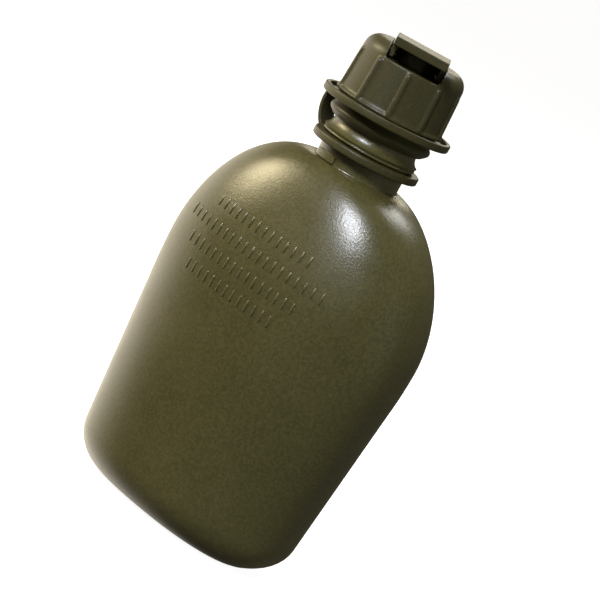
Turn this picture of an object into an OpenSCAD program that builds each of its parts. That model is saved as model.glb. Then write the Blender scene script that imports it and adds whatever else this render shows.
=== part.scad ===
// One-quart moulded canteen with a strapped screw cap and a flip-up drinking cover.
// The origin is where the neck's axis meets the base, +Z runs up the neck,
// and -Y is the bulging front face.

/* [Bottle] */
// Height of the shell, from the base to the root of the neck
body_h = 168; // [150:1:185]
// Widest half width of the shell
half_w = 64; // [58:0.5:70]
// Widest half thickness of the shell
half_t = 33.2; // [30:0.2:36]
// Half width just above the base
base_half_w = 55; // [50:0.5:58]
// Half thickness just above the base
base_half_t = 29.4; // [26:0.2:30]
// Height at which the shell is widest
widest_z = 108.6; // [95:0.2:120]
// Radius of the rounding round the base
base_round = 16; // [8:0.5:20]
// How far the section bends round the hip, from its middle to its sides
hip_bend = 7.8; // [4:0.2:12]
// Squareness of the section, where 2 is an ellipse
squareness = 2.7; // [2:0.1:4]
// Moulded wall thickness
wall = 1.7; // [1.2:0.1:2.4]

/* [Neck] */
// Radius of the neck's root, below the flared ridge
root_r = 19; // [18.5:0.1:19.2]
// Radius of the neck's bore
neck_bore_r = 15; // [13:0.1:15.4]
// Radius of the threaded tube, between the threads
tube_r = 17.3; // [16.8:0.1:17.5]
// Height of the rim above the shell
rim_h = 40; // [39:0.5:40]
// Radius of the flared ridge above the strap
ridge_r = 21.2; // [20.8:0.1:22]
// Radius of the waist above the ridge
waist_r = 19.1; // [18.8:0.1:19.2]
// Rise of the thread in one turn
pitch = 4.2; // [4:0.1:4.6]

/* [Strap] */
// Outer radius of the ring round the neck
neck_ring_r = 24.4; // [23:0.1:26]
// Outer radius of the ring in the cap's groove
cap_ring_r = 29.3; // [28:0.1:30]
// Thickness of both rings along the neck
ring_t = 3.4; // [3:0.1:3.6]
// Height of the neck ring's lower face above the shell
neck_ring_z = 7; // [5:0.1:7.4]
// Width of the band between the rings
link_w = 11; // [9:0.5:13]
// Thickness of the band between the rings
link_t = 1.4; // [1.2:0.1:2]

/* [Cap] */
// Height of the cap's lower edge above the shell
cap_z = 18; // [17.6:0.1:18.2]
// Height of the cap's flat top above the shell
cap_top = 56.2; // [56:0.1:56.4]
// Wall radius at the top of the cap
cap_r = 22.9; // [22.6:0.1:23.4]
// Wall radius at the flange
cap_foot_r = 23.9; // [23.6:0.1:24.4]
// Number of grip ribs
ribs = 10; // [8:1:12]
// Width of a grip rib
rib_w = 2.6; // [2:0.1:3]
// How far a grip rib stands out
rib_out = 1.2; // [0.8:0.1:1.5]
// Angle at which the closed cap comes to rest on its thread
cap_turn = 32; // [20:1:40]

/* [Drinking cover] */
// Width of the flip-up cover
cover_w = 24; // [22:0.2:26]
// Thickness of the cover's plate
cover_t = 3.7; // [3.2:0.1:4]
// Distance from the neck's axis to the cover's lip
lip_y = 27; // [25:0.5:28]
// Radius of the drinking socket's bore
socket_r = 5; // [4.6:0.1:5.2]
// Radius of the cover's hinge pin
pin_r = 0.9; // [0.8:0.05:1]

/* [Hidden] */
$fn = 96;
olive = [0.35, 0.33, 0.19];
dark_olive = [0.27, 0.26, 0.16];
black_rubber = [0.1, 0.1, 0.1];
steel = [0.72, 0.72, 0.7];

// Clearances: of a turning fit, and between pieces that only pass each other
running = 0.05;
gap = 0.3;
// How far a cutting shape runs past the face it cuts
past = 1;

// Shell
sides = 80;
straight_part = 0.85;
shoulder_pow = 1.9;
shoulder_pow_t = 1.7;
top_r = root_r + 0.6;

// Neck
ridge_z = 11;
ridge_edge = 0.6;
flare_z = 12.6;
waist_z = 17.4;
waist_top = 20;
tube_z = 22;
tube_edge = 0.7;
stop_from = -125;
stop_turn = 35;
stop_z = 0.6;
stop_h = 3;
stop_out = 1;

// Thread: one turn on the neck and one in the cap, half a pitch apart
neck_thread_z = 31;
cap_thread_z = neck_thread_z - pitch / 2;
neck_tip_r = 18.9;
cap_tip_r = tube_r + 0.5;
cap_bore_r = 19.5;
cap_mouth_r = 20.2;
thread_steps = 48;
thread_fade = 5;
thread_base = 2.2;
thread_crest = 0.9;
embed = 0.25;

// Heights inside the cap, above the shell
gasket_t = 2;
gasket_in_r = 12.4;
gasket_out_r = 18.6;
plate_z = rim_h + gasket_t;
plate_t = 2;
plate_in_r = 9.2;
seat_r = cap_bore_r - 0.2;
seat_z = plate_z + plate_t;
core_r = cap_bore_r - 0.7;
core_top = 48;
floor_z = 49.8;
socket_top = 55.4;
boss_top = 55.6;
boss_r = 9.4;
boss_foot_r = 13;
chamber_r = 10.6;
chamber_top = 47.8;
socket_out_r = 8.2;

// Outside of the cap
foot_r = 20.6;
bead_r = 23.3;
bead_z = 21.2;
bead_edge = 1.8;
groove_r = 21.9;
groove_z = 24;
flange_z = 28.4;
flange_r = 24.9;
flange_edge = 0.6;
wall_foot_z = 31;
wall_top_z = 49.7;
shoulder_r = cap_top - wall_top_z;
channel_w = cover_w + 0.7;
rib_h = 17.5;
pin_hole_reach = 15.6;
pin_reach = 15.4;

// Strap ring that rides in the cap's groove
cap_ring_z = 25.3;
ring_edge = 0.8;
rim_w = 2;
floor_t = 1.6;
lug_w = link_w + 1;
lug_out = 0.4;
lug_in = 2.6;
bow = 2.6;

// Drinking valve
pin_post_r = 1.3;
pin_head_r = 2.4;
pin_tip_r = 1;
pin_head_h = 1.1;
hub_r = 3.7;
hub_hole_r = 1.9;
hub_z = 45.9;
hub_t = 1.85;
head_z = hub_z + hub_t + running;
web_t = 0.7;
web_z = hub_z + 1.5;
well_r = 7.4;
web_bend_r = 7.7;
rim_z = 45.2;
rim_t = 1.2;
arm_t = 1.4;
arm_z = plate_z + 0.4;
arm_w = 1.6;
leg_in = 7.7;
leg_out = 8.9;
mouth = 0.5;

// Cover hinge
hinge_y = 13;
hinge_z = 53.4;
barrel_r = 2.4;
cover_z = cap_top + gap;
cover_top = cover_z + cover_t;
barrel_w = cover_w - 0.4;
rest_z = 51.6;
skirt_in = boss_r + 0.5;
skirt_y = -15;
skirt_z = floor_z + 0.8;
skirt_end = 6;
seal_r = 6.8;
seal_recess = 0.8;
arm_y = 4;
arm_back = 10.4;
slope_y = -3;
slope = 12;
back_drop = (arm_y - slope_y) * tan(slope);

function signed_pow(v, e) = sign(v) * pow(abs(v), e);

// Straight sides that turn smoothly upright over the last stretch below the widest level
function part_way(z) = min(z / widest_z, 1);
function past_straight(z) = max(0, part_way(z) - straight_part);
function grow(z) = (part_way(z) - pow(past_straight(z), 2) / (2 * (1 - straight_part)))
    * 2 / (1 + straight_part);
function inset(z) = z >= base_round ? 0
    : base_round - sqrt(base_round * base_round - pow(base_round - z, 2));
function climb(z) = max(0, (z - widest_z) / (body_h - widest_z));
function shrink(z, p) = pow(max(0, 1 - pow(climb(z), p)), 1 / p);

// Half width, half thickness, bend and squareness of the shell at a height
function reach(lo, hi, z, p) = z <= widest_z
    ? lo + (hi - lo) * grow(z) - inset(z)
    : top_r + (hi - top_r) * shrink(z, p);
function bend_at(z) = hip_bend * shrink(z, shoulder_pow);
function square_at(z) = 2 + (squareness - 2) * shrink(z, shoulder_pow);

// One level ring of the shell, drawn in by skin and set at height at
function ring(z, at, skin) = [
    for (i = [0 : sides - 1])
        let (t = 360 * i / sides,
             n = square_at(z),
             x = (reach(base_half_w, half_w, z, shoulder_pow) - skin) * signed_pow(cos(t), 2 / n),
             y = (reach(base_half_t, half_t, z, shoulder_pow_t) - skin) * signed_pow(sin(t), 2 / n))
        [x, y + bend_at(z) * (pow(x / half_w, 2) - 0.5), at]];

// A solid through a stack of rings, each a list of the same number of points
module loft(rings) {
    n = len(rings[0]);
    last = len(rings) - 1;
    polyhedron(
        points = [for (r = rings) each r],
        faces = concat(
            [[for (i = [0 : n - 1]) i]],
            [[for (i = [n - 1 : -1 : 0]) last * n + i]],
            [for (k = [0 : last - 1], i = [0 : n - 1])
                [k * n + i, (k + 1) * n + i, (k + 1) * n + (i + 1) % n]],
            [for (k = [0 : last - 1], i = [0 : n - 1])
                [k * n + i, (k + 1) * n + (i + 1) % n, k * n + (i + 1) % n]]));
}

// Levels up the shell: close together where it curves in
function levels(low, mid, high) = concat(
    [for (i = [0 : low]) base_round * (1 - cos(90 * i / low))],
    [for (i = [1 : mid]) base_round + (widest_z - base_round) * i / mid],
    [for (i = [1 : high]) widest_z + (body_h - widest_z) * sin(90 * i / high)]);

module shell_outside() {
    loft([for (z = levels(5, 5, 13)) ring(z, z, 0)]);
}

module shell_inside() {
    loft([for (z = levels(4, 4, 10)) ring(z, wall + z * (body_h - 2 * wall) / body_h, wall)]);
}

// A helical ridge of one turn: base at radius from, crest at radius to
module thread(from, to, z) {
    function fade(k) = min(1, min(k, thread_steps - k) / thread_fade + 0.05);
    function section(k) = let (a = 360 * k / thread_steps, rise = z + pitch * k / thread_steps,
                               tip = from + (to - from) * fade(k))
        [for (p = [[from, thread_base / 2], [tip, thread_crest / 2],
                   [tip, -thread_crest / 2], [from, -thread_base / 2]])
            [p[0] * cos(a), p[0] * sin(a), rise + p[1]]];
    loft([for (k = [0 : thread_steps])
        to > from ? section(k) : [for (i = [3 : -1 : 0]) section(k)[i]]]);
}

// Points of an arc, as [radius, height] pairs
function arc(c, r, from, to, steps) = [
    for (i = [0 : steps])
        let (a = from + (to - from) * i / steps) [c[0] + r * cos(a), c[1] + r * sin(a)]];

module neck_outside() {
    sunk = -3;
    flare = waist_z - flare_z;
    rotate_extrude()
        polygon(concat(
            [[0, sunk], [root_r, sunk], [root_r, ridge_z]],
            arc([ridge_r - ridge_edge, ridge_z + ridge_edge], ridge_edge, -90, 60, 4),
            arc([waist_r + flare, waist_z], flare, 240, 180, 8),
            [[waist_r, waist_top], [tube_r, tube_z]],
            arc([tube_r - tube_edge, rim_h - tube_edge], tube_edge, 0, 90, 4),
            [[0, rim_h]]));
    rotate([0, 0, stop_from])
        rotate_extrude(angle = stop_turn)
            translate([root_r - stop_out, stop_z]) square([2 * stop_out, stop_h]);
}

module bottle() {
    color(olive)
    difference() {
        union() {
            shell_outside();
            translate([0, 0, body_h]) neck_outside();
            translate([0, 0, body_h]) thread(tube_r - embed, neck_tip_r, neck_thread_z);
        }
        shell_inside();
        translate([0, 0, body_h - 8]) cylinder(r = neck_bore_r, h = rim_h + 8 + past);
    }
}

// A flat ring with a rounded outer edge
module flat_ring(inner, outer) {
    rotate_extrude()
        polygon(concat(
            [[inner, 0]],
            arc([outer - ring_edge, ring_edge], ring_edge, -90, 0, 4),
            arc([outer - ring_edge, ring_t - ring_edge], ring_edge, 0, 90, 4),
            [[inner, ring_t]]));
}

module strap_neck_ring() {
    color(olive)
    translate([0, 0, body_h + neck_ring_z]) flat_ring(root_r + gap, neck_ring_r);
}

// The band runs up from the neck ring's edge to the cap ring's lower face, bowed outwards
module strap_link() {
    low = [neck_ring_r - 0.1, ring_t + neck_ring_z - link_t];
    high = [cap_ring_r - 0.2, cap_ring_z];
    chord = norm(high - low);
    bow_r = (chord * chord / 4 + bow * bow) / (2 * bow);
    half = asin(chord / 2 / bow_r);
    lean = atan2(high[1] - low[1], high[0] - low[0]);
    middle = (low + high) / 2 + (bow - bow_r) * [sin(lean), -cos(lean)];
    out = lean - 90;
    color(olive)
    translate([0, 0, body_h])
        rotate([90, 0, 180])
            translate([0, 0, -link_w / 2])
                linear_extrude(link_w)
                    difference() {
                        polygon(concat(
                            arc(middle, bow_r, out - half, out + half, 16),
                            arc(middle, bow_r - link_t, out + half, out - half, 16)));
                        translate([0, cap_ring_z]) square([cap_ring_r + past, ring_t]);
                        translate([0, neck_ring_z]) square([neck_ring_r, ring_t]);
                    }
}

module strap_cap_ring() {
    color(olive)
    translate([0, 0, body_h + cap_ring_z])
        difference() {
            union() {
                flat_ring(groove_r + gap, cap_ring_r);
                translate([-cap_ring_r - lug_out, -lug_w / 2, 0])
                    cube([lug_out + lug_in, lug_w, ring_t - ring_edge]);
            }
            translate([0, 0, floor_t]) cylinder(r = cap_ring_r - rim_w, h = ring_t);
        }
}

// Outside of the cap, from its lower edge up to its flat top
module cap_outside() {
    rotate_extrude()
        polygon(concat(
            [[0, cap_z], [foot_r, cap_z]],
            arc([bead_r - bead_edge, bead_z], bead_edge, -50, 50, 6),
            [[groove_r, groove_z], [groove_r, flange_z], [flange_r - flange_edge / 2, flange_z]],
            arc([flange_r - flange_edge, flange_z + 0.9], flange_edge, -30, 90, 4),
            [[cap_foot_r + 0.2, wall_foot_z - flange_edge], [cap_foot_r, wall_foot_z]],
            arc([cap_r - shoulder_r, wall_top_z], shoulder_r, 0, 90, 8),
            [[0, cap_top]]));
}

module grip_rib() {
    lean = atan((cap_foot_r - cap_r) / (wall_top_z - wall_foot_z));
    translate([cap_foot_r - rib_w / 2 + rib_out, 0, wall_foot_z - 1])
        rotate([0, -lean, 0]) {
            cylinder(r = rib_w / 2, h = rib_h);
            translate([0, 0, rib_h]) sphere(r = rib_w / 2);
        }
}

module cap_frame() {
    translate([0, 0, body_h]) rotate([0, 0, cap_turn]) children();
}

// The space inside the cap: the threaded bore, the plate's seat and the core round the boss
module cap_hollow() {
    translate([0, 0, cap_z - past]) cylinder(r = cap_bore_r, h = plate_z - cap_z + past);
    translate([0, 0, cap_z - running]) cylinder(r1 = cap_mouth_r, r2 = cap_bore_r, h = 1.2);
    translate([0, 0, plate_z - past]) cylinder(r = seat_r, h = plate_t + past);
    difference() {
        translate([0, 0, seat_z - past]) cylinder(r = core_r, h = core_top - seat_z + past);
        translate([0, 0, seat_z]) cylinder(r = boss_foot_r, h = core_top - seat_z + past);
    }
}

// The channel across the top, which leaves the socket's boss and the opened cover's rest standing
module cover_channel() {
    reach = cap_foot_r + rib_out + past;
    difference() {
        translate([-channel_w / 2, -reach, floor_z]) cube([channel_w, 2 * reach, cap_top - floor_z + past]);
        translate([0, 0, floor_z - past]) cylinder(r = boss_r, h = boss_top - floor_z + past);
        translate([-channel_w / 2 - past, 0, 0])
            rotate([90, 0, 90]) linear_extrude(channel_w + 2 * past) cover_rest();
    }
}

// Side outline of the ramp behind the barrel, on which the opened cover leans, as [y, z]
module cover_rest() {
    rest_y = hinge_y + barrel_r + gap;
    polygon([[rest_y, floor_z - past], [rest_y, rest_z], [rest_y + cap_top + past - rest_z, cap_top + past],
             [2 * cap_foot_r, cap_top + past], [2 * cap_foot_r, floor_z - past]]);
}

module cap_shell() {
    color(olive)
    cap_frame()
    difference() {
        union() {
            difference() {
                union() {
                    cap_outside();
                    for (i = [0 : ribs - 1]) rotate([0, 0, -90 + 360 * i / ribs]) grip_rib();
                }
                cap_hollow();
                cover_channel();
            }
            thread(cap_bore_r + embed, cap_tip_r, cap_thread_z);
        }
        translate([0, 0, seat_z - past]) cylinder(r = chamber_r, h = chamber_top - seat_z + past);
        translate([0, 0, seat_z]) cylinder(r = socket_out_r, h = cap_top - seat_z);
        translate([-pin_hole_reach, hinge_y, hinge_z])
            rotate([0, 90, 0]) cylinder(r = pin_r, h = 2 * pin_hole_reach);
    }
}

module neck_gasket() {
    color(black_rubber)
    translate([0, 0, body_h + rim_h])
        difference() {
            cylinder(r = gasket_out_r, h = gasket_t);
            translate([0, 0, -past]) cylinder(r = gasket_in_r, h = gasket_t + 2 * past);
        }
}

module drink_socket() {
    flange_z = rim_z + rim_t;
    well_top = chamber_top + 1.2;
    color(dark_olive)
    cap_frame()
    difference() {
        union() {
            translate([0, 0, flange_z]) cylinder(r = chamber_r - 0.1, h = chamber_top - flange_z);
            translate([0, 0, flange_z]) cylinder(r = socket_out_r, h = socket_top - flange_z);
        }
        translate([0, 0, flange_z - past]) cylinder(r = well_r, h = well_top - flange_z + past);
        translate([0, 0, well_top - past]) cylinder(r = socket_r, h = socket_top - well_top + 2 * past);
        translate([0, 0, socket_top - mouth]) cylinder(r1 = socket_r, r2 = socket_r + mouth, h = mouth);
    }
}

module drink_pin() {
    color(dark_olive)
    cap_frame() {
        translate([0, 0, seat_z])
            difference() {
                cylinder(r = chamber_r - 0.1, h = rim_z - seat_z);
                translate([0, 0, -past]) cylinder(r = leg_in - 0.1, h = rim_z - seat_z + 2 * past);
            }
        for (i = [0 : 2]) rotate([0, 0, 120 * i]) {
            translate([0, -arm_w / 2, arm_z]) cube([leg_out, arm_w, arm_t]);
            translate([leg_in, -arm_w / 2, arm_z])
                cube([leg_out - leg_in, arm_w, seat_z - arm_z + 0.4]);
        }
        translate([0, 0, arm_z]) cylinder(r = pin_post_r, h = head_z - arm_z);
        translate([0, 0, head_z]) cylinder(r1 = pin_head_r, r2 = pin_tip_r, h = pin_head_h);
    }
}

module valve_diaphragm() {
    color(black_rubber)
    cap_frame()
        rotate_extrude()
            polygon([[chamber_r - 0.1, rim_z], [chamber_r - 0.1, rim_z + rim_t],
                     [well_r - 0.2, rim_z + rim_t],
                     [hub_r + 0.1, web_z], [hub_r + 0.1, web_z - web_t],
                     [web_bend_r, rim_z + rim_t - web_t], [web_bend_r, rim_z]]);
}

module valve_hub() {
    color(black_rubber)
    cap_frame()
        translate([0, 0, hub_z])
            difference() {
                cylinder(r = hub_r, h = hub_t);
                translate([0, 0, -past]) cylinder(r = hub_hole_r, h = hub_t + 2 * past);
            }
}

module valve_retainer() {
    color(dark_olive)
    cap_frame()
        translate([0, 0, plate_z])
            difference() {
                cylinder(r = seat_r - running, h = plate_t);
                translate([0, 0, -past]) cylinder(r = plate_in_r, h = plate_t + 2 * past);
            }
}

// Side outline of the arm that runs from the plate down to the hinge, as [y, z]
module arm_side() {
    polygon([[arm_y, cover_z], [arm_y, cover_top - back_drop], [hinge_y + 1.4, hinge_z + 1.9],
             [hinge_y, hinge_z], [hinge_y - 1.6, hinge_z + 1.6], [arm_back, cover_z]]);
}

// The lid: a plate, two skirts that fill the channel beside the boss, and the hinge's arm and barrel
module cover() {
    color(olive)
    cap_frame()
    difference() {
        union() {
            translate([-cover_w / 2, -lip_y, cover_z]) cube([cover_w, lip_y + arm_y + 1, cover_t]);
            for (x = [-cover_w / 2, skirt_in])
                translate([x, skirt_y, skirt_z])
                    cube([cover_w / 2 - skirt_in, skirt_end - skirt_y, cover_z + 1 - skirt_z]);
            translate([-barrel_w / 2, 0, 0])
                rotate([90, 0, 90]) linear_extrude(barrel_w) arm_side();
            translate([-barrel_w / 2, hinge_y, hinge_z])
                rotate([0, 90, 0]) cylinder(r = barrel_r, h = barrel_w);
        }
        translate([-cover_w / 2, hinge_y, hinge_z])
            rotate([0, 90, 0]) cylinder(r = pin_r + running, h = cover_w);
        translate([0, 0, cover_z - past]) cylinder(r = seal_r, h = seal_recess + past);
        translate([-cover_w, slope_y, cover_top]) rotate([-slope, 0, 0]) cube([2 * cover_w, 40, 10]);
    }
}

module cover_pin() {
    color(steel)
    cap_frame()
        translate([-pin_reach, hinge_y, hinge_z])
            rotate([0, 90, 0]) cylinder(r = pin_r, h = 2 * pin_reach);
}

module cover_seal() {
    color(black_rubber)
    cap_frame()
        translate([0, 0, socket_top + running])
            cylinder(r = seal_r, h = cover_z + seal_recess - socket_top - running);
}

bottle();
strap_neck_ring();
strap_link();
strap_cap_ring();
cap_shell();
neck_gasket();
drink_socket();
drink_pin();
valve_diaphragm();
valve_hub();
valve_retainer();
cover();
cover_pin();
cover_seal();
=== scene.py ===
# %% [markdown]
# # A one-quart moulded canteen, dressed for its picture
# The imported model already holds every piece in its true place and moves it. This lesson gives each
# piece the skin the real one has: blow-moulded polythene with a pebbled mould finish, an injection
# moulded cap, a soft strap, rubber seals and a steel hinge pin.
# Lengths are written in millimetres and turned to metres where a mesh is finished.

import math

import bmesh
import bpy
from mathutils import Matrix, Vector


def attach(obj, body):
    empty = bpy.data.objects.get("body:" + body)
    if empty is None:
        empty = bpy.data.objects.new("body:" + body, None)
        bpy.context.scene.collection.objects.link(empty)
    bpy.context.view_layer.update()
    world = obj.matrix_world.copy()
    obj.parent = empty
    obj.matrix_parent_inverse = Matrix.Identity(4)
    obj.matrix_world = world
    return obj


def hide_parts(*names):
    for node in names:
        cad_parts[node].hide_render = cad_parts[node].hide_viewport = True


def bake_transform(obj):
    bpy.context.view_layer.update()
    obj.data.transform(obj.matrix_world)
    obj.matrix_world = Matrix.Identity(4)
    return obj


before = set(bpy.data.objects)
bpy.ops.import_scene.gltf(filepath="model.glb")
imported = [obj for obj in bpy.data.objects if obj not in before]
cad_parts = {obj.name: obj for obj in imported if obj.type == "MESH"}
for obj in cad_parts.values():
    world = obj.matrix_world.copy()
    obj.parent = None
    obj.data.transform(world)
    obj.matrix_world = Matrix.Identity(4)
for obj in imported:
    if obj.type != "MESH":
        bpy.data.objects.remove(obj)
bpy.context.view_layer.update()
MM = 0.001

# %% [markdown]
# ## The camera
# It stands a little to the right of the canteen's front and just above it, far enough away that the
# lines stay nearly parallel. It is rolled, so the canteen leans to the right as if it hung by its cap.
# It is made first, because everything after it is judged through it.

# %% Camera
AZIMUTH, ELEVATION, ROLL = math.radians(31.3), math.radians(11.35), math.radians(-28.8)
DISTANCE, AIM_HEIGHT, AIM_SIDE = 937.9, 109.1, 5.07
FOCAL, SENSOR = 133.2, 36.0

back = Vector((math.sin(AZIMUTH) * math.cos(ELEVATION), -math.cos(AZIMUTH) * math.cos(ELEVATION),
               math.sin(ELEVATION)))
right = Vector((math.cos(AZIMUTH), math.sin(AZIMUTH), 0))
up = back.cross(right)
across = right * math.cos(ROLL) - up * math.sin(ROLL)
upwards = right * math.sin(ROLL) + up * math.cos(ROLL)
eye = Vector((0, 0, AIM_HEIGHT)) + right * AIM_SIDE + back * DISTANCE

camera = bpy.data.objects.new("camera", bpy.data.cameras.new("camera"))
camera.data.lens, camera.data.sensor_width = FOCAL, SENSOR
camera.data.clip_start, camera.data.clip_end = 0.01, 100
camera.matrix_world = Matrix.Translation(eye * MM) @ Matrix((across, upwards, back)).transposed().to_4x4()
bpy.context.scene.collection.objects.link(camera)
bpy.context.scene.camera = camera
print("camera at, mm:", [round(c) for c in eye])

# %% [markdown]
# ## Helpers for materials
# A colour is read off a chart in sRGB, but the renderer wants linear light, so one function turns it.
# A second one adds a node, sets it and links it, whatever its kind.

# %% Material helpers
def linear(code):
    parts = [int(code[i:i + 2], 16) / 255 for i in (1, 3, 5)]
    return [c / 12.92 if c <= 0.04045 else ((c + 0.055) / 1.055) ** 2.4 for c in parts] + [1]


def add(tree, kind, sockets=None, stops=(), **settings):
    """Adds one node. A socket given a link is joined to it, and one given a value is set.
    Stops are places from 0 to 1 with their colours, for a node that holds a colour ramp."""
    made = tree.nodes.new(kind)
    for index, (place, shade) in enumerate(stops):
        element = made.color_ramp.elements[index]
        element.position, element.color = place, linear(shade)
    for name, value in settings.items():
        setattr(made, name, value)
    for name, value in (sockets or {}).items():
        if isinstance(value, bpy.types.NodeSocket):
            tree.links.new(value, made.inputs[name])
        else:
            made.inputs[name].default_value = value
    return made


def new_material(name):
    made = bpy.data.materials.new(name)
    made.use_nodes = True
    return made, made.node_tree, made.node_tree.nodes["Principled BSDF"]


print("olive in linear light:", [round(c, 3) for c in linear("#5c5838")])

# %% [markdown]
# ## Blow-moulded polythene
# The bottle is high-density polythene, blown into a mould whose walls were blasted with coarse grit.
# The eye gets three things from that: a fine pebble that breaks every highlight into grains, an olive
# that drifts a little where the wall is thicker, and a dull polish with paler scuffs where it rubs.
# The real grit is about 0.5 mm, drawn here at 0.8 mm because anything finer is lost at this size.

# %% The bottle's plastic
GRIT = 0.8 * MM


def moulded_plastic(name, dark, light, rough, grain, depth, sheen_drift=0.06, scuffed=0.5,
                    gloss=0.5):
    """Dyed plastic from a textured mould: grain is the pebble's size and depth its height, in metres.
    The sheen drifts about rough, scuffed is how worn it is, and gloss how strongly it reflects."""
    made, tree, shader = new_material(name)
    place = add(tree, "ShaderNodeTexCoord").outputs["Object"]
    drift = add(tree, "ShaderNodeTexNoise", {"Vector": place, "Scale": 1 / (40 * MM), "Detail": 3.0})
    speck = add(tree, "ShaderNodeTexNoise", {"Vector": place, "Scale": 1 / (1.6 * grain), "Detail": 2.0})
    body = add(tree, "ShaderNodeValToRGB", {0: drift.outputs["Fac"]}, [(0.3, dark), (0.7, light)])
    grains = add(tree, "ShaderNodeValToRGB", {0: speck.outputs["Fac"]},
                 [(0.35, "#dcdcdc"), (0.65, "#ffffff")])
    dyed = add(tree, "ShaderNodeMix", {0: 1.0, 6: body.outputs[0], 7: grains.outputs[0]}, data_type="RGBA",
               blend_type="MULTIPLY")
    lie = add(tree, "ShaderNodeMapping", {"Vector": place, "Rotation": (0.5, 0.9, 0.3),
                                          "Scale": (1 / (2 * MM), 1 / (40 * MM), 1 / (9 * MM))})
    rub = add(tree, "ShaderNodeTexNoise", {"Vector": lie.outputs["Vector"], "Scale": 1.0, "Detail": 4.0})
    faint = add(tree, "ShaderNodeMapRange", {"Value": rub.outputs["Fac"], 1: 0.66, 2: 0.78,
                                             3: 0.0, 4: 0.12 * scuffed})
    paler = add(tree, "ShaderNodeMix", {0: faint.outputs[0], 6: dyed.outputs[2], 7: linear("#8d8a6c")},
                data_type="RGBA")
    tree.links.new(paler.outputs[2], shader.inputs["Base Color"])
    wear = add(tree, "ShaderNodeMapRange", {"Value": drift.outputs["Fac"], 1: 0.3, 2: 0.7,
                                            3: rough - sheen_drift, 4: rough + sheen_drift})
    tree.links.new(wear.outputs[0], shader.inputs["Roughness"])
    pebble = add(tree, "ShaderNodeTexNoise", {"Vector": place, "Scale": 1 / grain, "Detail": 3.0,
                                              "Roughness": 0.55})
    bump = add(tree, "ShaderNodeBump", {"Height": pebble.outputs["Fac"], "Strength": 1.0, "Distance": depth})
    tree.links.new(bump.outputs["Normal"], shader.inputs["Normal"])
    shader.inputs["IOR"].default_value = 1.54
    shader.inputs["Specular IOR Level"].default_value = gloss
    return made


blown_polythene = moulded_plastic("blow-moulded polythene", "#464224", "#4d4828", 0.31, GRIT, 0.085 * MM)
print("pebble across, mm:", GRIT / MM)

# %% [markdown]
# ## The cap's and the strap's plastics
# The cap is polypropylene, injected into a finely etched mould, so it is smoother than the bottle
# and its edges catch sharper lights. The strap is softer low-density polythene, a shade duller.
# Both use the bottle's recipe with a finer, shallower grain, since they are the same kind of stuff.

# %% Cap, strap and valve plastics
cap_plastic = moulded_plastic("injection-moulded polypropylene", "#35321a", "#3a361d", 0.40, 0.5 * MM,
                              0.022 * MM, 0.04, 0.8, 0.28)
strap_plastic = moulded_plastic("soft low-density polythene", "#38341b", "#3d391e", 0.44, 0.6 * MM,
                                0.03 * MM, 0.05, 0.8, 0.28)
valve_plastic = moulded_plastic("acetal valve plastic", "#2f2e20", "#37352a", 0.34, 0.5 * MM,
                                0.01 * MM, 0.04, 0)
print("plastics made:", [m.name for m in (cap_plastic, strap_plastic, valve_plastic)])

# %% [markdown]
# ## Rubber and steel
# The seals are black EPDM rubber, pressed in a mould: nearly black, without polish, with a soft bloom.
# The hinge pin is drawn stainless wire: a metal whose fine draw lines run along it.

# %% Rubber
rubber, tree, shader = new_material("pressed EPDM rubber")
place = add(tree, "ShaderNodeTexCoord").outputs["Object"]
bloom = add(tree, "ShaderNodeTexNoise", {"Vector": place, "Scale": 1 / (3 * MM), "Detail": 5.0})
black = add(tree, "ShaderNodeValToRGB", {0: bloom.outputs["Fac"]}, [(0.35, "#141413"), (0.7, "#232321")])
tree.links.new(black.outputs[0], shader.inputs["Base Color"])
skin = add(tree, "ShaderNodeTexNoise", {"Vector": place, "Scale": 1 / (0.4 * MM), "Detail": 2.0})
pores = add(tree, "ShaderNodeBump", {"Height": skin.outputs["Fac"], "Distance": 0.015 * MM})
tree.links.new(pores.outputs["Normal"], shader.inputs["Normal"])
shader.inputs["Roughness"].default_value = 0.62
shader.inputs["IOR"].default_value = 1.52

# %% Drawn steel
steel, tree, shader = new_material("drawn stainless wire")
place = add(tree, "ShaderNodeTexCoord").outputs["Object"]
CAP_TURN = math.radians(32)
along = add(tree, "ShaderNodeMapping", {"Vector": place, "Rotation": (0, 0, -CAP_TURN),
                                        "Scale": (1 / (20 * MM), 1 / (0.15 * MM), 1 / (0.15 * MM))})
lines = add(tree, "ShaderNodeTexNoise", {"Vector": along.outputs["Vector"], "Scale": 1.0, "Detail": 2.0})
grey = add(tree, "ShaderNodeValToRGB", {0: lines.outputs["Fac"]}, [(0.3, "#8f8f8b"), (0.7, "#b9b8b2")])
tree.links.new(grey.outputs[0], shader.inputs["Base Color"])
grooves = add(tree, "ShaderNodeMapRange", {"Value": lines.outputs["Fac"], 3: 0.22, 4: 0.4})
tree.links.new(grooves.outputs[0], shader.inputs["Roughness"])
shader.inputs["Metallic"].default_value = 1.0
print("rubber and steel made")

# %% [markdown]
# ## Finishing a piece
# Every mesh below is built in millimetres. One function closes the job in the same way each time:
# it turns the faces outwards, scales to metres, shades the curves smooth and keeps real corners
# sharp, gives the material, ties the piece to its moving body and hides the CAD node it stands for.

# %% Finish a piece
SHARP = math.radians(38)


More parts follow.
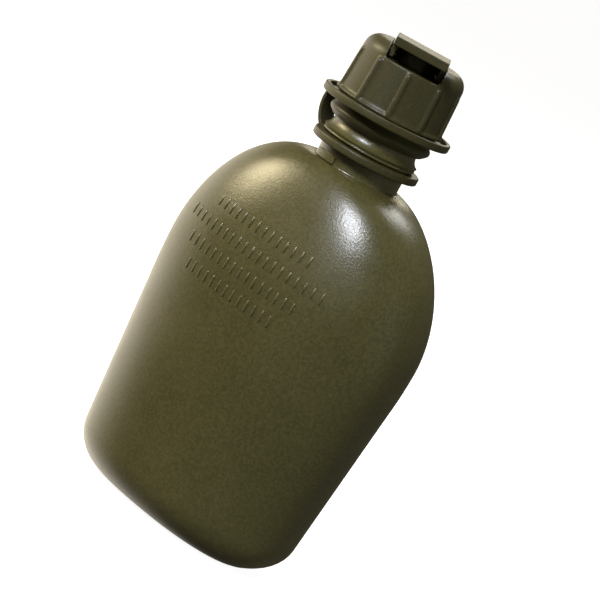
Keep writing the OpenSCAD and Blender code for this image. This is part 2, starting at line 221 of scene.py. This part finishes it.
def finish_piece(bm, name, material, body=None, nodes=(), sharp=SHARP):
    bmesh.ops.recalc_face_normals(bm, faces=bm.faces)
    bmesh.ops.scale(bm, vec=(MM, MM, MM), verts=bm.verts)
    mesh = bpy.data.meshes.new(name)
    bm.to_mesh(mesh)
    bm.free()
    mesh.materials.append(material)
    mesh.shade_smooth()
    mesh.set_sharp_from_angle(angle=sharp)
    piece = bpy.data.objects.new(name, mesh)
    bpy.context.scene.collection.objects.link(piece)
    if body:
        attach(piece, body)
    if nodes:
        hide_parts(*nodes)
    print(f"{name}: {len(mesh.polygons)} faces, mm:", [round(d / MM, 1) for d in piece.dimensions])
    return piece


# %% [markdown]
# ## The shape of the shell
# The bottle is a flask bent to sit on the hip: wide, flat in front and back, and closing in a long
# shoulder up to the neck. A lathe can't make it, so each level ring is a squarish oval whose width,
# thickness and bend are worked out from a few driving sizes, and the skin runs through those rings.

# %% Driving sizes of the shell
BODY_H, WIDEST_Z, BASE_ROUND, WALL = 168.0, 108.6, 16.0, 1.7
HALF_W, HALF_T, BASE_HALF_W, BASE_HALF_T = 64.0, 33.2, 55.0, 29.4
HIP_BEND, SQUARENESS, STRAIGHT_PART = 7.8, 2.7, 0.85
SHOULDER_POW, SHOULDER_POW_T, TOP_R = 1.9, 1.7, 19.6
SEAM_TURN, SEAM_PROUD = 0.0036, 0.04


def grow(level):
    part = min(level / WIDEST_Z, 1)
    past = max(0.0, part - STRAIGHT_PART)
    return (part - past ** 2 / (2 * (1 - STRAIGHT_PART))) * 2 / (1 + STRAIGHT_PART)


def inset(level):
    return 0 if level >= BASE_ROUND else BASE_ROUND - math.sqrt(BASE_ROUND ** 2 - (BASE_ROUND - level) ** 2)


def shrink(level, power):
    climb = max(0.0, (level - WIDEST_Z) / (BODY_H - WIDEST_Z))
    return max(0.0, 1 - climb ** power) ** (1 / power)


def reach(low, high, level, power):
    if level <= WIDEST_Z:
        return low + (high - low) * grow(level) - inset(level)
    return TOP_R + (high - TOP_R) * shrink(level, power)


def section(level, skin=0.0):
    """Half width, half thickness, power and bend of the shell at a level."""
    wide = shrink(level, SHOULDER_POW)
    return (reach(BASE_HALF_W, HALF_W, level, SHOULDER_POW) - skin,
            reach(BASE_HALF_T, HALF_T, level, SHOULDER_POW_T) - skin,
            2 + (SQUARENESS - 2) * wide, HIP_BEND * wide)


def shell_point(turn, level, height, skin=0.0):
    half_w, half_t, power, bend = section(level, skin)
    c, s = math.cos(turn), math.sin(turn)
    x = half_w * math.copysign(abs(c) ** (2 / power), c)
    y = half_t * math.copysign(abs(s) ** (2 / power), s)
    if skin == 0 and abs(s) < SEAM_TURN / 2:
        x += math.copysign(SEAM_PROUD * shrink(level, SHOULDER_POW), x)
    return Vector((x, y + bend * ((x / HALF_W) ** 2 - 0.5), height))


def front_y(x, level):
    """Where the front face lies at a distance x from the middle."""
    half_w, half_t, power, bend = section(level)
    return -half_t * (1 - abs(x / half_w) ** power) ** (1 / power) + bend * ((x / HALF_W) ** 2 - 0.5)


print("front face at its fullest, mm:", round(front_y(0, WIDEST_Z), 1))

# %% [markdown]
# ## The neck's profile
# Above the shell the bottle is round: a root, a flared ridge that keeps the strap's ring down, a
# waist, and the tube that carries the thread and ends in a rounded rim. Its rings come from one
# profile of radius and height, so the same skin goes on up, over the rim and down the bore.

# %% Profile of the neck
NECK_BORE_R, TUBE_R, RIM_H, ROOT_R, RIDGE_R, WAIST_R = 15.0, 17.3, 40.0, 19.0, 21.2, 19.1


def arc(centre, radius, start, end, steps):
    turns = [math.radians(start + (end - start) * i / steps) for i in range(steps + 1)]
    return [(centre[0] + radius * math.cos(t), centre[1] + radius * math.sin(t)) for t in turns]


FLARE, EDGE = 4.8, 0.6
neck_profile = ([(19.3, 0.1), (19.1, 0.35), (ROOT_R, 0.8), (ROOT_R, 5), (ROOT_R, 10.4)]
                + arc((ROOT_R + 0.6, 10.4), 0.6, 180, 90, 3)
                + arc((RIDGE_R - EDGE, 11 + EDGE), EDGE, -90, 60, 8)
                + arc((WAIST_R + FLARE, 12.6 + FLARE), FLARE, 240, 180, 12)
                + [(WAIST_R, 19.6), (WAIST_R - 0.2, 20.1), (TUBE_R + 0.2, 21.8), (TUBE_R, 22.2),
                   (TUBE_R, 39.3)]
                + arc((TUBE_R - 0.7, RIM_H - 0.7), 0.7, 20, 90, 4)
                + arc((NECK_BORE_R + 0.5, RIM_H - 0.5), 0.5, 90, 180, 4)
                + [(NECK_BORE_R, 20), (NECK_BORE_R, -WALL)])
print("neck profile points:", len(neck_profile))

# %% [markdown]
# ## Raising the skin
# One circle of vertices is the start. Each vertex carries its own angle in a layer, which extruding
# copies to the new ring, so a ring is raised by extruding the last one and putting every vertex where
# its angle and level say. Two close vertices beside each end make the thin moulding seam.

# %% The bottle's skin
COLUMNS, CROWDING = 128, SQUARENESS / 2


def column_turn(step):
    """A column's angle. Columns crowd towards the narrow ends, where a squarish oval spreads them."""
    s, c = math.sin(math.tau * step / COLUMNS), math.cos(math.tau * step / COLUMNS)
    return math.atan2(math.copysign(abs(s) ** CROWDING, s), math.copysign(abs(c) ** CROWDING, c)) % math.tau


turns = sorted([column_turn(i) for i in range(COLUMNS)]
               + [math.tau - SEAM_TURN, SEAM_TURN, math.pi - SEAM_TURN, math.pi + SEAM_TURN])

bm = bmesh.new()
turn_of = bm.verts.layers.float.new("turn")
bmesh.ops.create_circle(bm, segments=len(turns), radius=1)
bm.verts.ensure_lookup_table()
for vert, turn in zip(bm.verts, turns):
    vert[turn_of] = turn
ring = list(bm.edges)


def stand_ring(verts, place):
    for vert in verts:
        vert.co = place(vert[turn_of])


def raise_ring(ring, place):
    made = bmesh.ops.extrude_edge_only(bm, edges=ring)["geom"]
    verts = {g for g in made if isinstance(g, bmesh.types.BMVert)}
    stand_ring(verts, place)
    return [g for g in made if isinstance(g, bmesh.types.BMEdge) and set(g.verts) <= verts]


levels = ([BASE_ROUND * (1 - math.cos(math.pi / 2 * i / 10)) for i in range(11)]
          + [BASE_ROUND + (WIDEST_Z - BASE_ROUND) * i / 20 for i in range(1, 21)]
          + [WIDEST_Z + (BODY_H - WIDEST_Z) * math.sin(math.pi / 2 * i / 36) for i in range(1, 37)])
stand_ring(bm.verts, lambda t: shell_point(t, 0, 0))
base_rim = list(ring)
for level in levels[1:]:
    ring = raise_ring(ring, lambda t: shell_point(t, level, level))
for radius, height in neck_profile:
    ring = raise_ring(ring, lambda t: Vector((radius * math.cos(t), radius * math.sin(t), BODY_H + height)))
for level in levels[::-2]:
    height = WALL + level * (BODY_H - 2 * WALL) / BODY_H
    ring = raise_ring(ring, lambda t: shell_point(t, level, height, WALL))
bmesh.ops.contextual_create(bm, geom=ring)
bmesh.ops.contextual_create(bm, geom=base_rim)
print("skin:", len(bm.verts), "vertices;", sum(e.is_boundary for e in bm.edges), "open edges")

# %% [markdown]
# ## The neck's thread and stop
# A thread is a small section swept round and upwards. Spinning a face with a lift at every step does
# that in one call. Its ends are then drawn down into the tube, as a mould cutter leaves them.
# The short raised stop at the foot of the neck is another section, spun through a part of a turn.

# %% One turn of thread
THREAD_Z, PITCH, THREAD_TIP, STEPS = 31.0, 4.2, 18.9, 60
HALF_ROOT, HALF_CREST = 1.1, 0.45


def sweep_thread(mesh, inner, tip, start_z):
    before = set(mesh.verts)
    section_of = bmesh.ops.create_grid(mesh, x_segments=1, y_segments=1, size=1)["verts"]
    for vert in section_of:
        on_tube = vert.co.x < 0
        half = math.copysign(HALF_ROOT if on_tube else HALF_CREST, vert.co.y)
        vert.co = Vector((inner if on_tube else tip, 0, start_z + half))
    faces = {f for v in section_of for f in v.link_faces}
    bmesh.ops.spin(mesh, geom=list(section_of) + list(faces), cent=(0, 0, 0), axis=(0, 0, 1),
                   dvec=(0, 0, PITCH / STEPS), angle=math.tau, steps=STEPS, use_merge=False)
    for vert in set(mesh.verts) - before:
        gone = (vert.co.z - start_z + HALF_ROOT) / PITCH
        fade = max(0.08, min(1, gone / 0.12, (1.5 - gone) / 0.12))
        radius = math.hypot(vert.co.x, vert.co.y)
        drawn = inner + (radius - inner) * fade
        vert.co.x, vert.co.y = vert.co.x * drawn / radius, vert.co.y * drawn / radius


sweep_thread(bm, TUBE_R - 0.2, THREAD_TIP, BODY_H + THREAD_Z)

STOP_FROM, STOP_TURN = math.radians(-125), math.radians(35)
STOP_OUT, STOP_Z, STOP_H = 1.0, 0.6, 3.0
stop_section = bmesh.ops.create_grid(bm, x_segments=1, y_segments=1, size=0.5)["verts"]
for vert in stop_section:
    vert.co = Vector((ROOT_R + vert.co.x * 2 * STOP_OUT, 0, BODY_H + STOP_Z + (vert.co.y + 0.5) * STOP_H))
bmesh.ops.rotate(bm, verts=stop_section, cent=(0, 0, 0), matrix=Matrix.Rotation(STOP_FROM, 3, "Z"))
stop_faces = {f for v in stop_section for f in v.link_faces}
bmesh.ops.spin(bm, geom=list(stop_section) + list(stop_faces), cent=(0, 0, 0), axis=(0, 0, 1),
               angle=STOP_TURN, steps=12, use_merge=False)
finish_piece(bm, "bottle_skin", blown_polythene, "bottle", ["bottle"], math.radians(50))

# %% [markdown]
# ## Raised ticks on the front
# The mould presses four centred rows of small raised marks into the chest. Here they are plain
# upright ticks that say nothing. Each is a stretched ball, sunk so only its crown stands out, and
# bent to the chest by putting every vertex on the front face's own formula.

# %% Rows of ticks
ROWS, PER_ROW = 4, (14, 20, 16, 13)
TICK_PITCH, ROW_PITCH, TOP_ROW_Z, ROW_X = 4.15, 9.8, 132.5, -5.3
TICK_H, TICK_R, TICK_PROUD = 5.4, 0.62, 0.42

bm = bmesh.new()
for row, count in enumerate(PER_ROW):
    for i in range(count):
        x = ROW_X + (i - (count - 1) / 2) * TICK_PITCH
        z = TOP_ROW_Z - row * ROW_PITCH
        ball = bmesh.ops.create_uvsphere(bm, u_segments=10, v_segments=8, radius=TICK_R)["verts"]
        for vert in ball:
            lift = math.copysign(TICK_H / 2 - TICK_R, vert.co.z) if abs(vert.co.z) > 1e-4 else 0
            at_x, at_z = x + vert.co.x, z + vert.co.z + lift
            vert.co = Vector((at_x, front_y(at_x, at_z) + TICK_R - TICK_PROUD + vert.co.y, at_z))
finish_piece(bm, "front_ticks", blown_polythene, "bottle", sharp=math.radians(80))

# %% [markdown]
# ## The strap's rings
# Both rings are bodies of revolution, so their sections are drawn once and spun. A section starts as
# a single quad, its corners are rounded with a vertex bevel, and only its outline is spun, because a
# spun face would leave a wall inside the ring.

# %% Spin a ring
def spin_outline(mesh, corners, rounds, steps=128):
    """Spins a closed outline of (radius, height) corners; rounds gives the corners that are rounded."""
    verts = [mesh.verts.new((r, 0, z)) for r, z in corners]
    mesh.faces.new(verts)
    for index, radius in sorted(rounds.items(), reverse=True):
        bmesh.ops.bevel(mesh, geom=[verts[index]], offset=radius, offset_type="OFFSET", segments=4,
                        profile=0.5, affect="VERTICES", material=-1)
    bmesh.ops.delete(mesh, geom=list(mesh.faces), context="FACES_ONLY")
    bmesh.ops.spin(mesh, geom=list(mesh.edges) + list(mesh.verts), cent=(0, 0, 0),
                   axis=(0, 0, 1), angle=math.tau,
                   steps=steps, use_merge=True)
    bmesh.ops.remove_doubles(mesh, verts=mesh.verts, dist=0.001)


NECK_RING_Z, CAP_RING_Z, RING_T = BODY_H + 7, BODY_H + 25.3, 3.4
NECK_RING_R, CAP_RING_R, GROOVE_R = 24.4, 29.3, 21.9

bm = bmesh.new()
spin_outline(bm, [(ROOT_R + 0.3, NECK_RING_Z), (NECK_RING_R, NECK_RING_Z),
                  (NECK_RING_R, NECK_RING_Z + RING_T), (ROOT_R + 0.3, NECK_RING_Z + RING_T)],
             {0: 0.3, 1: 0.7, 2: 0.7, 3: 0.3})
finish_piece(bm, "neck_ring", strap_plastic, "strap_low", ["strap_neck_ring"])

# %% [markdown]
# ## The upper ring
# This ring is a shallow dish: a thin floor that sits in the cap's groove, and a raised rim round it.
# Its lug, where the band begins, is a short block let into the rim, rounded like the rest.

# %% Dished ring and its lug
RING_FLOOR, RING_RIM, LUG_W = 1.6, 2.0, 12.0

bm = bmesh.new()
spin_outline(bm, [(GROOVE_R + 0.3, CAP_RING_Z), (CAP_RING_R, CAP_RING_Z),
                  (CAP_RING_R, CAP_RING_Z + RING_T), (CAP_RING_R - RING_RIM, CAP_RING_Z + RING_T),
                  (CAP_RING_R - RING_RIM, CAP_RING_Z + RING_FLOOR),
                  (GROOVE_R + 0.3, CAP_RING_Z + RING_FLOOR)], {0: 0.3, 1: 0.7, 2: 0.6, 3: 0.4, 5: 0.3})
lug = bmesh.ops.create_cube(bm, size=1)["verts"]
bmesh.ops.scale(bm, vec=(2.6, LUG_W, RING_T - 0.8), verts=lug)
bmesh.ops.translate(bm, vec=(-CAP_RING_R + 0.9, 0, CAP_RING_Z + (RING_T - 0.8) / 2), verts=lug)
bmesh.ops.bevel(bm, geom=list({e for v in lug for e in v.link_edges}), offset=0.5, segments=3, profile=0.5,
                affect="EDGES", material=-1)
finish_piece(bm, "cap_ring", strap_plastic, "strap_high", ["strap_cap_ring"])

# %% [markdown]
# ## The strap's band
# A short band joins the rings and bows outwards. It is a flat grid bent onto an arc, given its
# thickness, and rounded along its edges. It stretches and tips when the cap is screwed up, so it
# is tied to neither ring's body, and its place is baked into the mesh.

# %% Bent band
LINK_W, LINK_T, BOW = 11.0, 1.4, 2.6
low = Vector((NECK_RING_R - 0.3, 0, NECK_RING_Z + 2.0))
high = Vector((CAP_RING_R - 0.7, 0, CAP_RING_Z + 0.6))
chord = high - low
bow_r = (chord.length ** 2 / 4 + BOW ** 2) / (2 * BOW)
sweep = math.asin(chord.length / 2 / bow_r)
outwards = Vector((chord.z, 0, -chord.x)).normalized()
hub = (low + high) / 2 + outwards * (BOW - bow_r)

bm = bmesh.new()
band = bmesh.ops.create_grid(bm, x_segments=24, y_segments=8, size=0.5)["verts"]
for vert in band:
    angle, side = vert.co.x * 2 * sweep, vert.co.y * LINK_W
    spot = hub + bow_r * (outwards * math.cos(angle) + chord.normalized() * math.sin(angle))
    vert.co = Vector((-spot.x, side, spot.z))
bmesh.ops.recalc_face_normals(bm, faces=bm.faces)
bmesh.ops.solidify(bm, geom=list(bm.faces), thickness=LINK_T)
rims = [e for e in bm.edges if e.calc_face_angle(0) > 1.2]
bmesh.ops.bevel(bm, geom=rims, offset=0.35, segments=3, profile=0.5, affect="EDGES", material=-1)
link = finish_piece(bm, "strap_band", strap_plastic, nodes=["strap_link"])
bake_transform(link)

# %% [markdown]
# ## The cap and its cover
# Their CAD solids have the right shape, but every edge is a knife edge, and a moulded edge never is.
# A copy of the solid is joined into one mesh, rebuilt in small even cells and smoothed a little. That
# rounds all edges and corners alike, inside and out, as a mould does.

# %% Moulded copies of two solids
def moulded_copy(node, name, cell, passes, material, body):
    bm = bmesh.new()
    bm.from_mesh(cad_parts[node].data)
    bmesh.ops.remove_doubles(bm, verts=bm.verts, dist=1e-6)
    bmesh.ops.scale(bm, vec=(1 / MM, 1 / MM, 1 / MM), verts=bm.verts)
    piece = finish_piece(bm, name, material, body, [node], math.radians(180))
    rebuilt = piece.modifiers.new("cells", "REMESH")
    rebuilt.mode, rebuilt.voxel_size, rebuilt.use_smooth_shade = "VOXEL", cell * MM, True
    eased = piece.modifiers.new("eased edges", "SMOOTH")
    eased.factor, eased.iterations = 0.5, passes
    bpy.context.view_layer.update()
    shaped = bpy.data.meshes.new_from_object(piece.evaluated_get(bpy.context.evaluated_depsgraph_get()))
    piece.modifiers.clear()
    piece.data = shaped
    shaped.shade_smooth()
    print(f"{name}: {len(shaped.polygons)} cells of {cell} mm")


moulded_copy("cap_shell", "cap_body", 0.47, 3, cap_plastic, "cap")
moulded_copy("cover", "cover_lid", 0.25, 4, cap_plastic, "cover")

# %% [markdown]
# ## Pieces that keep their CAD mesh
# The gasket, the seals, the valve's parts and the pin are plain turned shapes, mostly hidden inside
# the cap. Their meshes are right as they are, so each one only gets its real material.

# %% Materials on the small parts
small_parts = {"neck_gasket": rubber, "cover_seal": rubber, "valve_diaphragm": rubber, "valve_hub": rubber,
               "drink_socket": valve_plastic, "drink_pin": valve_plastic, "valve_retainer": valve_plastic,
               "cover_pin": steel}
for node, material in small_parts.items():
    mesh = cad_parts[node].data
    mesh.materials.clear()
    mesh.materials.append(material)
print("small parts:", len(small_parts))

# %% [markdown]
# ## Floor and light
# The canteen stands on a plain pale floor. A warm soft box far to its left makes the broad gleam on
# one shoulder, and a cooler upright window in front and above makes the long white one on the other.
# A weak box without a gleam fills the right side, and two behind light the back and the cover's top.
# The floor glows a little to stay white, and is set not to light the canteen, so that its undersides
# stay deep. Last, a pale wall on the left, painted in the world's light, draws the bright edge there.

# %% Floor
bm = bmesh.new()
bmesh.ops.create_grid(bm, x_segments=1, y_segments=1, size=30)
floor_mesh = bpy.data.meshes.new("floor")
bm.to_mesh(floor_mesh)
bm.free()
floor = bpy.data.objects.new("floor", floor_mesh)
bpy.context.scene.collection.objects.link(floor)
paper, tree, shader = new_material("white backdrop paper")
place = add(tree, "ShaderNodeTexCoord").outputs["Object"]
fibres = add(tree, "ShaderNodeTexNoise", {"Vector": place, "Scale": 3.0, "Detail": 2.0})
pulp = add(tree, "ShaderNodeValToRGB", {0: fibres.outputs["Fac"]}, [(0.3, "#bcbcbc"), (0.7, "#c0c0c0")])
tree.links.new(pulp.outputs[0], shader.inputs["Base Color"])
shader.inputs["Roughness"].default_value = 0.9
shader.inputs["Specular IOR Level"].default_value = 0.1
shader.inputs["Emission Color"].default_value = linear("#ffffff")
shader.inputs["Emission Strength"].default_value = 0.92
floor.visible_diffuse = floor.visible_glossy = False
floor_mesh.materials.append(paper)

# %% Lamps
AIM = Vector((0, 0, 0.12))


def soft_box(name, azimuth, elevation, distance, size, power, shade):
    """A rectangular lamp aimed at the canteen. Azimuth 0 is straight in front and 90 on its right."""
    lamp = bpy.data.objects.new(name, bpy.data.lights.new(name, "AREA"))
    a, e = math.radians(azimuth), math.radians(elevation)
    away = Vector((math.sin(a) * math.cos(e), -math.cos(a) * math.cos(e), math.sin(e)))
    lamp.data.shape, lamp.data.size, lamp.data.size_y = "RECTANGLE", size[0], size[1]
    lamp.data.energy, lamp.data.color = power, linear(shade)[:3]
    lamp.location = AIM + away * distance
    lamp.rotation_mode = "QUATERNION"
    lamp.rotation_quaternion = away.to_track_quat("Z", "Y")
    bpy.context.scene.collection.objects.link(lamp)
    return lamp


soft_box("left soft box", -64, 21, 1.2, (0.38, 0.38), 12, "#ffeec4")
soft_box("front window", 5, 40, 1.4, (0.08, 0.34), 25, "#f2f6ff")
soft_box("right fill", 88, 10, 1.6, (0.9, 0.9), 10, "#e8f0ff").visible_glossy = False
soft_box("back box", -149, 22, 1.6, (0.5, 0.5), 2.2, "#fff3d8")
soft_box("high back box", -165, 60, 1.7, (1.1, 1.1), 26, "#f8f7f2")

world = bpy.data.worlds.new("studio")
world.use_nodes = True
tree = world.node_tree
ROOM, PALE_WALL, WALL_FROM, WALL_TO = 0.10, 2.4, 0.68, 0.98
wall_way = Vector((-0.93, 0.26, -0.35)).normalized()
way = add(tree, "ShaderNodeTexCoord").outputs["Generated"]
facing = add(tree, "ShaderNodeVectorMath", {0: way, 1: wall_way}, operation="DOT_PRODUCT")
wall = add(tree, "ShaderNodeMapRange", {"Value": facing.outputs["Value"], 1: WALL_FROM, 2: WALL_TO,
                                        3: ROOM, 4: PALE_WALL}, interpolation_type="SMOOTHSTEP")
tree.links.new(wall.outputs[0], tree.nodes["Background"].inputs["Strength"])
tree.nodes["Background"].inputs["Color"].default_value = linear("#fdf3de")
bpy.context.scene.world = world
bpy.context.scene.view_settings.view_transform = "Standard"
